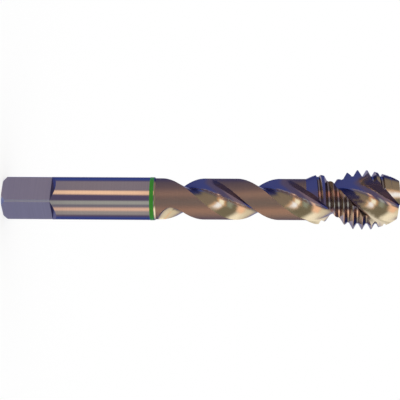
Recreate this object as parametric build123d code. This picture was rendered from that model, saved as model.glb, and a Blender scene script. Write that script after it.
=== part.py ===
from build123d import *
import os
from math import ceil, cos, radians, sin, tan

# A two-flute spiral-flute machine tap for blind holes, right hand, 1/2-13 UNC,
# standing on its square end. Lengths in mm, angles in degrees.
# +Z is the tap's axis and points from the square end to the cutting point. The
# origin is the centre of the flat end face. Places round the axis are angles from
# +X towards +Y, and every helix is right-handed: its angle grows with z.

# Overall
overall_length = 85.725  # 3 3/8 in

# Driving square
square_across_flats = 6.88  # 0.275 in square, less its grinding tolerance
square_corner_diameter = 9.24  # the corners are turned just under the shank
square_length = 10.65  # length of the flats, up to their run-out
square_runout_angle = 45.0  # slope from the flat out to the shank
square_corner_angle = 7.3  # where the first corner stands round the axis
end_chamfer = 0.78  # 45 degree chamfer on the corners of the end face

# Shank
shank_diameter = 9.32  # 0.367 in
shank_length = 33.4  # from the end face to the neck
shank_step_length = 0.3  # the bevel where the shank drops to the neck

# Painted band near the front end of the shank
band_width = 0.87
band_to_neck = 0.1  # bare steel between the band and the bevel
band_seat_depth = 0.08  # the shallow seat that the paint fills
band_paint_proud = 0.04  # how far the paint stands above the shank

# Neck
neck_diameter = 8.94
flare_start = 65.8  # where the neck starts to widen to the thread
flare_angle = 24.0  # half angle of that cone

# Thread, 1/2-13 UNC
threads_per_inch = 13
thread_major_diameter = 12.86  # a tap's crests stand above the nominal 12.70
thread_root_diameter = 10.3
thread_crest_width = 0.16
thread_flank_angle = 30.0  # half of the 60 degree form
thread_groove_height = 74.05  # height of the groove's middle at groove_angle
thread_groove_angle = 180.0

# Lead chamfer at the cutting point
chamfer_length = 6.1  # between three and four threads
point_diameter = 9.3

# Flutes
flute_count = 2
flute_lead = 32.5  # advance in one turn
core_diameter = 4.73  # steel left between the flutes
cutting_face_angle = 27.0  # between the cutting face and the radius
hook_radius = 1.83  # the curve from the cutting face to the flute's floor
heel_radius = 5.54  # the gentler curve from the floor towards the heel
heel_angle = 21.4  # turned by that curve, before the heel runs on straight
heel_width = 3.75  # from the floor to where the heel turns outwards
outer_heel_angle = 50.0  # its slope from there, which keeps the head's lands wide
neck_to_full_depth = 4.4  # from the neck's start to where the run-out is full depth
flute_curve_steps = 4  # points that each stretch of the flute's curve runs through
flute_angle = 147.9  # where the first flute stands at that height
flute_runout_radius = 3.9  # the grinding wheel's radius at the run-out

# How far cutting shapes reach past the steel; the thread's is small, so that its
# turns don't meet
overshoot = 1.0
groove_overshoot = 0.15

shank_radius = shank_diameter / 2
neck_radius = neck_diameter / 2
major_radius = thread_major_diameter / 2
root_radius = thread_root_diameter / 2
core_radius = core_diameter / 2
thread_pitch = 25.4 / threads_per_inch
flute_full_depth_height = shank_length + neck_to_full_depth
band_end = shank_length - shank_step_length - band_to_neck
band_start = band_end - band_width
band_seat_radius = shank_radius - band_seat_depth


def turned(*corners):
    """A solid turned about the tap's axis from corners given as (radius, height)."""
    outline = Polyline(*[(radius, 0, height) for radius, height in corners], close=True)
    return revolve(make_face(outline), Axis.Z)


def blank():
    """The turned steel: shank, band seat, neck, flare, thread blank and chamfer."""
    corner_radius = square_corner_diameter / 2
    flare_length = (major_radius - neck_radius) / tan(radians(flare_angle))
    return turned(
        (0, 0),
        (corner_radius - end_chamfer, 0),
        (corner_radius, end_chamfer),
        (corner_radius, square_length),
        (shank_radius, square_length),
        (shank_radius, band_start),
        (band_seat_radius, band_start),
        (band_seat_radius, band_end),
        (shank_radius, band_end),
        (shank_radius, shank_length - shank_step_length),
        (neck_radius, shank_length),
        (neck_radius, flare_start),
        (major_radius, flare_start + flare_length),
        (major_radius, overall_length - chamfer_length),
        (point_diameter / 2, overall_length),
        (0, overall_length),
    )


def colour_band():
    """The ring of paint, lying in its seat and standing a little proud."""
    outer_radius = shank_radius + band_paint_proud
    return turned(
        (band_seat_radius, band_start),
        (outer_radius, band_start),
        (outer_radius, band_end),
        (band_seat_radius, band_end),
    )


def square_cuts():
    """What is ground away to leave four flats, each with a sloping run-out."""
    flat_radius = square_across_flats / 2
    reach = shank_radius + overshoot
    runout_length = (reach - flat_radius) / tan(radians(square_runout_angle))
    outline = Polyline(
        (flat_radius, 0, -overshoot),
        (reach, 0, -overshoot),
        (reach, 0, square_length + runout_length),
        (flat_radius, 0, square_length),
        close=True,
    )
    cut = extrude(make_face(outline), amount=reach, dir=(0, 1, 0), both=True)
    first_flat_angle = square_corner_angle + 45
    return [Rot(Z=first_flat_angle + 90 * side) * cut for side in range(4)]


def thread_cuts():
    """The helical groove that leaves the 60 degree thread, one piece for each turn."""
    top_radius = major_radius + groove_overshoot
    flank_slope = tan(radians(thread_flank_angle))
    mouth_half_width = (thread_pitch - thread_crest_width) / 2
    root_half_width = mouth_half_width - (major_radius - root_radius) * flank_slope
    top_half_width = mouth_half_width + (top_radius - major_radius) * flank_slope
    outline = Polyline(
        (root_radius, 0, -root_half_width),
        (top_radius, 0, -top_half_width),
        (top_radius, 0, top_half_width),
        (root_radius, 0, root_half_width),
        close=True,
    )
    path = Helix(thread_pitch, thread_pitch, root_radius)
    turn = Rot(Z=thread_groove_angle) * sweep(make_face(outline), path=path, is_frenet=True)
    first_turn = ceil((flare_start - thread_groove_height) / thread_pitch)
    last_turn = ceil((overall_length - thread_groove_height) / thread_pitch)
    return [
        Pos(Z=thread_groove_height + index * thread_pitch) * turn
        for index in range(first_turn, last_turn + 1)
    ]


def flute_form(top):
    """The flute's section across its helix, from the core out to the radius top.

    X is the distance from the neck's surface and Y grows towards the heel. A straight
    cutting face runs into the hook, the floor, a gentler curve and a straight heel
    that turns outwards, and one smooth curve is drawn through them all.
    """
    outside = major_radius + overshoot
    hook_turn = radians(90 - cutting_face_angle)
    heel_turn = radians(heel_angle)
    steps = [step / flute_curve_steps for step in range(1, flute_curve_steps + 1)]
    hook = [
        (
            core_radius + hook_radius * (1 - cos(hook_turn * step)),
            -hook_radius * sin(hook_turn * step),
        )
        for step in steps
    ]
    heel_bend = [
        (
            core_radius + heel_radius * (1 - cos(heel_turn * step)),
            heel_radius * sin(heel_turn * step),
        )
        for step in steps
    ]
    hook_end_x, hook_end_y = hook[-1]
    face_rise = outside - hook_end_x
    face = [
        (hook_end_x + face_rise * step, hook_end_y - face_rise * step / tan(hook_turn))
        for step in steps
    ]
    bend_end_x, bend_end_y = heel_bend[-1]
    heel_run = heel_width - bend_end_y
    heel = [
        (bend_end_x + heel_run * step * tan(heel_turn), bend_end_y + heel_run * step)
        for step in steps
    ]
    heel_end_x, heel_end_y = heel[-1]
    heel_rise = outside - heel_end_x
    outer_slope = tan(radians(outer_heel_angle))
    outer_heel = [
        (heel_end_x + heel_rise * step, heel_end_y + heel_rise * step / outer_slope)
        for step in steps
    ]
    floor = [(core_radius, 0)]
    curve = Spline(face[::-1] + hook[::-1] + floor + heel_bend + heel + outer_heel)
    section = make_face(curve + Line(outer_heel[-1], face[-1]))
    kept = Pos(X=top / 2) * Rectangle(top, 4 * outside)
    return Pos(X=-neck_radius) * (section & kept)


def flute_cuts():
    """What is ground away for the flutes: half turns, and a wheel at each run-out."""
    path = Helix(flute_lead, flute_lead / 2, neck_radius)
    across = Plane(origin=path @ 0, x_dir=(1, 0, 0), z_dir=path % 0)
    channel = sweep(across * flute_form(major_radius + overshoot), path=path, is_frenet=True)
    wheel_centre = core_radius + flute_runout_radius
    wheel_axis = Axis((across * Pos(X=wheel_centre - neck_radius)).position, across.y_dir)
    wheel = revolve(across * flute_form(wheel_centre), wheel_axis)
    last_height = overall_length + major_radius
    half_turns = ceil((last_height - flute_full_depth_height) / (flute_lead / 2))
    cuts = []
    for flute in range(flute_count):
        angle = flute_angle + flute * 360 / flute_count
        start = Pos(Z=flute_full_depth_height) * Rot(Z=angle)
        for index in range(half_turns):
            cuts.append(start * Pos(Z=index * flute_lead / 2) * Rot(Z=index * 180) * channel)
        cuts.append(start * wheel)
    return cuts


body = blank()
for cut in square_cuts() + thread_cuts() + flute_cuts():
    body -= cut

os.makedirs("parts", exist_ok=True)
export_step(body, "parts/tap_body.step")
export_step(colour_band(), "parts/colour_band.step")
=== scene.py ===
import math

import bpy
from mathutils import Matrix, Vector


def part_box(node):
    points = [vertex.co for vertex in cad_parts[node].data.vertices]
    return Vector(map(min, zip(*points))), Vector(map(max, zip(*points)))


# A spiral-flute tap stands on its square end, and the camera lies level beside it,
# turned a quarter turn, so that the tap runs across the picture from the square at
# the left to the cutting point at the right. Lengths are in metres.

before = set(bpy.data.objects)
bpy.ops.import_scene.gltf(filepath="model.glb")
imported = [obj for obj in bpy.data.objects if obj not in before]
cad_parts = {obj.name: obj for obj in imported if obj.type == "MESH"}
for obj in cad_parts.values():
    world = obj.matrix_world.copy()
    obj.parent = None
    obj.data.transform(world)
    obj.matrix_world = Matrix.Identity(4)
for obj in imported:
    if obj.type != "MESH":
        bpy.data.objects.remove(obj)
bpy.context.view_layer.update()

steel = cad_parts["tap_body"]
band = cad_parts["colour_band"]
band_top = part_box("colour_band")[1].z

# Where the finish changes: heights along the axis, and the radius of the square's corners
run_out_start = 0.0088
square_end = 0.0107
shank_end = band_top + 0.00036
neck_end = 0.0658
corner_radius = 0.00462
sharp = 0.0001  # half the width of such a change

# Camera
camera_distance = 0.285
camera_height = 0.05418
camera_yaw = 2.27  # degrees, from +Y towards +Z, along the tap
camera_roll = 0.33  # degrees
focal_length = 118.0  # mm, on a 36 mm sensor
shift_down = 0.0025

floor_reach = 4.0
floor_own_white = 0.6  # share of the floor that stays white in the tap's shadow


def new_material(name):
    """An empty node material with its output node."""
    material = bpy.data.materials.new(name)
    material.use_nodes = True
    material.node_tree.nodes.clear()
    output = material.node_tree.nodes.new("ShaderNodeOutputMaterial")
    return material, material.node_tree, output


class Graph:
    """Short ways to add and link shader nodes."""

    def __init__(self, tree):
        self.tree = tree

    def add(self, kind, **settings):
        node = self.tree.nodes.new("ShaderNode" + kind)
        for key, value in settings.items():
            setattr(node, key, value)
        return node

    def link(self, source, target):
        self.tree.links.new(source, target)

    def put(self, value, socket):
        """Links value when it is a socket, and otherwise sets it as a number."""
        if isinstance(value, bpy.types.NodeSocket):
            self.link(value, socket)
        else:
            socket.default_value = value

    def math(self, operation, first, second=0.0):
        node = self.add("Math", operation=operation)
        for value, socket in zip((first, second), node.inputs):
            self.put(value, socket)
        return node.outputs[0]

    def less(self, value):
        """1 minus the value."""
        return self.math("SUBTRACT", 1.0, value)

    def smooth_step(self, value, start, end):
        node = self.add("MapRange", interpolation_type="SMOOTHSTEP")
        self.put(value, node.inputs["Value"])
        node.inputs["From Min"].default_value = start
        node.inputs["From Max"].default_value = end
        return node.outputs["Result"]

    def spread(self, value, low, high):
        """Maps 0 to 1 onto low to high."""
        node = self.add("MapRange")
        self.put(value, node.inputs["Value"])
        node.inputs["To Min"].default_value = low
        node.inputs["To Max"].default_value = high
        return node.outputs["Result"]

    def mix(self, factor, first, second, blend="MIX"):
        node = self.add("Mix", data_type="RGBA", blend_type=blend)
        self.put(factor, node.inputs["Factor"])
        self.put(first, node.inputs["A"])
        self.put(second, node.inputs["B"])
        return node.outputs["Result"]

    def mix_number(self, factor, first, second):
        node = self.add("Mix", data_type="FLOAT")
        self.put(factor, node.inputs["Factor"])
        self.put(first, node.inputs["A"])
        self.put(second, node.inputs["B"])
        return node.outputs["Result"]

    def noise(self, vector, scale, detail=3.0, roughness=0.5):
        node = self.add("TexNoise")
        self.link(vector, node.inputs["Vector"])
        node.inputs["Scale"].default_value = scale
        node.inputs["Detail"].default_value = detail
        node.inputs["Roughness"].default_value = roughness
        return node.outputs["Fac"]

    def bump(self, height, strength, distance):
        node = self.add("Bump")
        node.inputs["Strength"].default_value = strength
        node.inputs["Distance"].default_value = distance
        self.link(height, node.inputs["Height"])
        return node.outputs["Normal"]

    def combine(self, x, y, z):
        node = self.add("CombineXYZ")
        for value, socket in zip((x, y, z), node.inputs):
            self.put(value, socket)
        return node.outputs[0]


def srgb(red, green, blue):
    """Linear colour from display values of 0 to 255."""
    channels = []
    for value in (red, green, blue):
        share = value / 255
        if share <= 0.04045:
            channels.append(share / 12.92)
        else:
            channels.append(((share + 0.055) / 1.055) ** 2.4)
    return (*channels, 1.0)


# The steel: one material, whose grinding differs along the tap. The square's flats carry a
# painted reflection, a warm light tone facing -X and a cool bluish one facing +X, and its
# corners a painted highlight. Colours are linear.

steel_tone = (0.56, 0.48, 0.44, 1.0)
steel_blotch_tone = (0.52, 0.43, 0.42, 1.0)
steel_edge_on = (0.30, 0.32, 0.52, 1.0)  # the tint at glancing angles
satin_tone = (0.47, 0.335, 0.275, 1.0)  # the neck's
satin_speckle_tone = (0.40, 0.30, 0.25, 1.0)
square_painted_reflection_minus_x = (0.88, 0.78, 0.66, 1.0)  # painted reflection: warm, light tone for the flats facing -X
square_painted_reflection_plus_x = (0.515, 0.565, 0.72, 1.0)  # painted reflection: cool, bluish tone for the flats facing +X
# painted highlight: a lighter tone along the square's corners
square_corner_painted_highlight = (0.74, 0.74, 0.78, 1.0)
grinding_shade = (0.10, 0.09, 0.10, 1.0)
grinding_pass_shade = (0.74, 0.74, 0.76, 1.0)
shank_roughness = 0.09
flute_roughness = 0.15
neck_roughness = 0.46
square_roughness = 0.40


def steel_material():
    material, tree, output = new_material("coated_steel")
    g = Graph(tree)
    place = g.add("TexCoord").outputs["Object"]
    axes = g.add("SeparateXYZ")
    g.link(place, axes.inputs[0])
    x, y, z = axes.outputs
    radius = g.math("SQRT", g.math("ADD", g.math("MULTIPLY", x, x), g.math("MULTIPLY", y, y)))
    facing = g.add("SeparateXYZ")
    g.link(g.add("NewGeometry").outputs["True Normal"], facing.inputs[0])
    facing_x, facing_y, facing_z = facing.outputs

    # how far the face points outward from the axis: 1 on turned stretches
    outward = g.math(
        "DIVIDE",
        g.math("ADD", g.math("MULTIPLY", facing_x, x), g.math("MULTIPLY", facing_y, y)),
        g.math("MAXIMUM", radius, 1e-5),
    )
    turned = g.smooth_step(outward, 0.985, 0.997)

    # where each finish lies; the sloping run-outs of the flats are as bright as the shank
    sloping = g.smooth_step(g.math("ABSOLUTE", facing_z), 0.3, 0.5)
    past_flats = g.smooth_step(z, run_out_start - sharp, run_out_start + sharp)
    run_out = g.math("MULTIPLY", sloping, past_flats)
    before_shank = g.less(g.smooth_step(z, square_end - sharp, square_end + sharp))
    on_square = g.math("MULTIPLY", before_shank, g.less(run_out))
    past_shank = g.smooth_step(z, shank_end - sharp, shank_end + sharp)
    before_thread = g.less(g.smooth_step(z, neck_end - 0.0003, neck_end + 0.0012))
    on_neck = g.math("MULTIPLY", g.math("MULTIPLY", past_shank, before_thread), turned)
    in_flute = g.math("MULTIPLY", past_shank, g.less(turned))

    def drawn_out(across, along):
        """Coordinates for noise whose grains lie across the tap's axis."""
        return g.combine(g.math("MULTIPLY", x, across), g.math("MULTIPLY", y, across),
                         g.math("MULTIPLY", z, along))

    # fine grinding lines everywhere, and wider passes of the wheel on the square
    lines = g.noise(drawn_out(40.0, 9000.0), 1.0, 4.0, 0.6)
    passes = g.noise(drawn_out(60.0, 1500.0), 1.0, 3.0, 0.6)
    blotches = g.noise(place, 260.0, 4.0, 0.55)
    speckle = g.noise(place, 2400.0, 2.0, 0.5)

    tone = g.mix(g.spread(blotches, 0.0, 0.35), steel_tone, steel_blotch_tone)
    # painted reflection: the square's flats take one tone where they face -X and another where
    # they face +X
    plus_x_reflection_side = g.smooth_step(facing_x, -0.05, 0.05)
    flat_painted_light_tone = g.mix(plus_x_reflection_side, square_painted_reflection_minus_x, square_painted_reflection_plus_x)
    # painted highlight: the narrow turned corners of the square are shown lighter
    corner_highlight_mask = g.smooth_step(radius, corner_radius - 0.00004, corner_radius - 0.00002)
    flat_painted_light_tone = g.mix(corner_highlight_mask, flat_painted_light_tone, square_corner_painted_highlight)
    square_tone = g.mix(g.spread(passes, 0.0, 0.5), flat_painted_light_tone, grinding_pass_shade, "MULTIPLY")
    neck_tone = g.mix(speckle, satin_tone, satin_speckle_tone)
    base = g.mix(on_square, g.mix(on_neck, tone, neck_tone), square_tone)
    base = g.mix(g.spread(lines, 0.0, 0.25), base, grinding_shade, "MULTIPLY")

    rough = g.mix_number(in_flute, shank_roughness, flute_roughness)
    rough = g.mix_number(on_neck, rough, neck_roughness)
    rough = g.mix_number(on_square, rough, square_roughness)
    rough = g.math("ADD", rough, g.spread(lines, -0.04, 0.05))

    shader = g.add("BsdfPrincipled")
    shader.inputs["Metallic"].default_value = 1.0
    shader.inputs["Specular Tint"].default_value = steel_edge_on
    g.link(base, shader.inputs["Base Color"])
    g.link(rough, shader.inputs["Roughness"])
    g.link(g.bump(lines, 0.25, 0.000004), shader.inputs["Normal"])
    g.link(shader.outputs[0], output.inputs[0])
    return material


paint_tone = srgb(40, 118, 22)
paint_light_tone = srgb(52, 132, 36)


def paint_material():
    material, tree, output = new_material("green_paint")
    g = Graph(tree)
    place = g.add("TexCoord").outputs["Object"]
    shader = g.add("BsdfPrincipled")
    mottle = g.noise(place, 900.0, 3.0, 0.5)
    g.link(g.mix(mottle, paint_tone, paint_light_tone), shader.inputs["Base Color"])
    shader.inputs["Roughness"].default_value = 0.38
    shader.inputs["Specular IOR Level"].default_value = 0.25
    g.link(g.bump(mottle, 0.3, 0.00001), shader.inputs["Normal"])
    g.link(shader.outputs[0], output.inputs[0])
    return material


for node, material in ((steel, steel_material()), (band, paint_material())):
    node.data.materials.clear()
    node.data.materials.append(material)


# The floor: white, with the tap's own soft shadow, which it fades a little for the
# camera. It stays out of the steel's reflections, where the studio below takes its place.

floor_mesh = bpy.data.meshes.new("floor")
floor_mesh.from_pydata(
    [(-floor_reach, -floor_reach, 0), (floor_reach, -floor_reach, 0),
     (floor_reach, floor_reach, 0), (-floor_reach, floor_reach, 0)],
    [],
    [(0, 1, 2, 3)],
)
floor_material, floor_tree, floor_output = new_material("pale_floor")
g = Graph(floor_tree)
floor_shader = g.add("BsdfDiffuse")
floor_shader.inputs["Color"].default_value = (1.0, 1.0, 1.0, 1.0)
floor_white = g.add("Emission")
floor_choice = g.add("MixShader")
seen = g.add("LightPath").outputs["Is Camera Ray"]
g.link(g.math("MULTIPLY", seen, floor_own_white), floor_choice.inputs[0])
g.link(floor_shader.outputs[0], floor_choice.inputs[1])
g.link(floor_white.outputs[0], floor_choice.inputs[2])
g.link(floor_choice.outputs[0], floor_output.inputs[0])
floor_mesh.materials.append(floor_material)
floor = bpy.data.objects.new("floor", floor_mesh)
bpy.context.scene.collection.objects.link(floor)
floor.visible_glossy = False


# Camera

yaw = math.radians(camera_yaw)
roll = math.radians(camera_roll)
forward = Vector((0, math.cos(yaw), -math.sin(yaw)))
right = Vector((0, math.sin(yaw), math.cos(yaw)))
up = Vector((-1, 0, 0))
turned_right = right * math.cos(roll) + up * math.sin(roll)
turned_up = up * math.cos(roll) - right * math.sin(roll)
camera_data = bpy.data.cameras.new("camera")
camera_data.lens = focal_length
camera_data.sensor_width = 36.0
camera_data.clip_start = 0.01
camera_data.clip_end = 20.0
camera_data.shift_y = -shift_down
camera = bpy.data.objects.new("camera", camera_data)
axes = Matrix((turned_right, turned_up, -forward)).transposed().to_4x4()
camera.matrix_world = Matrix.Translation((0, -camera_distance, camera_height)) @ axes
bpy.context.scene.collection.objects.link(camera)
bpy.context.scene.camera = camera


# The world is plain white for the camera and for diffuse light. The steel mirrors a
# studio of lamps, screens and walls instead, which stands still in every view. Degrees
# go round the tap from the front (0) over -X, which is up in the picture (90), and
# heights are the sine of the elevation.
#
# For each: from and to in degrees and how soft that edge is, lowest and highest height
# and how soft that edge is, and the tone that the steel shows. Later ones stand in front.

studio_pieces = (
    ("low wall", -125, -40, 18, -0.80, -0.17, 0.05, (120, 100, 110)),
    ("low blue wall", 45, 200, 25, -1.10, -0.14, 0.06, (65, 70, 122)),
    ("upper wall", 44, 108, 8, -0.17, -0.05, 0.03, (132, 120, 126)),
    ("upper wall, high", 50, 116, 14, 0.20, 0.80, 0.10, (130, 112, 90)),
    ("lower wall", -100, -50, 12, -0.17, -0.05, 0.03, (155, 145, 140)),
    ("lower gap", -54, -28, 5, -0.17, 0.00, 0.03, (118, 112, 120)),
    ("grey screen", -32, -12, 6, -0.17, 0.14, 0.04, (160, 158, 150)),
    ("grey screen, high", -30, -6, 8, 0.14, 0.50, 0.08, (145, 145, 120)),
    ("rose lamp", -70, -50, 8, -0.17, 0.10, 0.04, (228, 184, 158)),
    ("cream wall", -200, -84, 20, 0.12, 0.50, 0.12, (225, 205, 165)),
    ("cream wall, high", -200, -66, 18, 0.46, 0.90, 0.14, (255, 238, 200)),
    ("rose lamp, high", -92, -56, 10, 0.06, 0.52, 0.10, (250, 195, 150)),
    ("key lamp, foot", 20, 42, 6, -0.17, -0.05, 0.03, (255, 208, 170)),
    ("key lamp, stand", 15, 40, 9, -0.05, 0.18, 0.05, (175, 122, 105)),
    ("key lamp, shade", 1, 42, 8, 0.14, 0.54, 0.08, (210, 155, 105)),
    ("key lamp", 9, 32, 5, 0.20, 0.54, 0.08, (255, 242, 205)),
    ("key lamp, top shade", 12, 56, 7, 0.50, 0.78, 0.06, (215, 170, 125)),
    ("key lamp, top", 19, 44, 8, 0.50, 0.74, 0.08, (255, 250, 240)),
    ("blue wall, upper", 116, 200, 13, -0.20, 0.14, 0.06, (66, 80, 140)),
    ("dark wall, upper", 122, 200, 12, 0.14, 0.80, 0.08, (50, 52, 92)),
    ("blue wall, lower", -200, -119, 12, -1.10, 0.00, 0.06, (66, 80, 140)),
)
dusk = (85, 75, 100)
olive = (118, 106, 80)
ceiling = (235, 220, 190)
brightest = 2.2  # the strength of a lamp whose colour is 1
backdrop_edge = (math.radians(150), math.radians(158))  # the white backdrop lies past it


def lamp_light(tone):
    """The light that gives the steel this display tone, as a share of the brightest."""
    shown = srgb(*tone)
    light = [shown[channel] / steel_tone[channel] / brightest for channel in range(3)]
    return (*light, 1.0)


world = bpy.data.worlds.new("studio")
bpy.context.scene.world = world
world.use_nodes = True
world.node_tree.nodes.clear()
w = Graph(world.node_tree)
sky = w.add("TexCoord").outputs["Generated"]
sky_axes = w.add("SeparateXYZ")
w.link(sky, sky_axes.inputs[0])
sky_x, sky_y, sky_z = sky_axes.outputs
angle = w.math("ARCTAN2", w.math("MULTIPLY", sky_x, -1.0), w.math("MULTIPLY", sky_y, -1.0))
degrees_round = w.math("MULTIPLY", angle, 180 / math.pi)


def within(value, low, high, edge):
    """1 between low and high, 0 outside, with soft edges."""
    rise = w.smooth_step(value, low - edge, low + edge)
    fall = w.smooth_step(value, high - edge, high + edge)
    return w.math("MULTIPLY", rise, w.less(fall))


light = w.mix(w.smooth_step(sky_z, -0.1, 0.3), lamp_light(dusk), lamp_light(olive))
for _, start, end, soft, low, high, soft_height, tone in studio_pieces:
    shape = w.math("MULTIPLY", within(degrees_round, start, end, soft),
                   within(sky_z, low, high, soft_height))
    light = w.mix(shape, light, lamp_light(tone))
light = w.mix(w.smooth_step(sky_z, 0.85, 1.0), light, lamp_light(ceiling))
rays = w.add("LightPath")
on_backdrop = w.smooth_step(w.math("ABSOLUTE", angle), *backdrop_edge)
mirrored = w.math("MULTIPLY", rays.outputs["Is Glossy Ray"], w.less(on_backdrop))
white = w.add("Background")
white.inputs["Color"].default_value = (1.0, 1.0, 1.0, 1.0)
studio = w.add("Background")
w.link(light, studio.inputs["Color"])
studio.inputs["Strength"].default_value = brightest
choice = w.add("MixShader")
w.link(mirrored, choice.inputs[0])
w.link(white.outputs[0], choice.inputs[1])
w.link(studio.outputs[0], choice.inputs[2])
world_output = w.add("OutputWorld")
w.link(choice.outputs[0], world_output.inputs[0])

bpy.context.scene.view_settings.view_transform = "Standard"
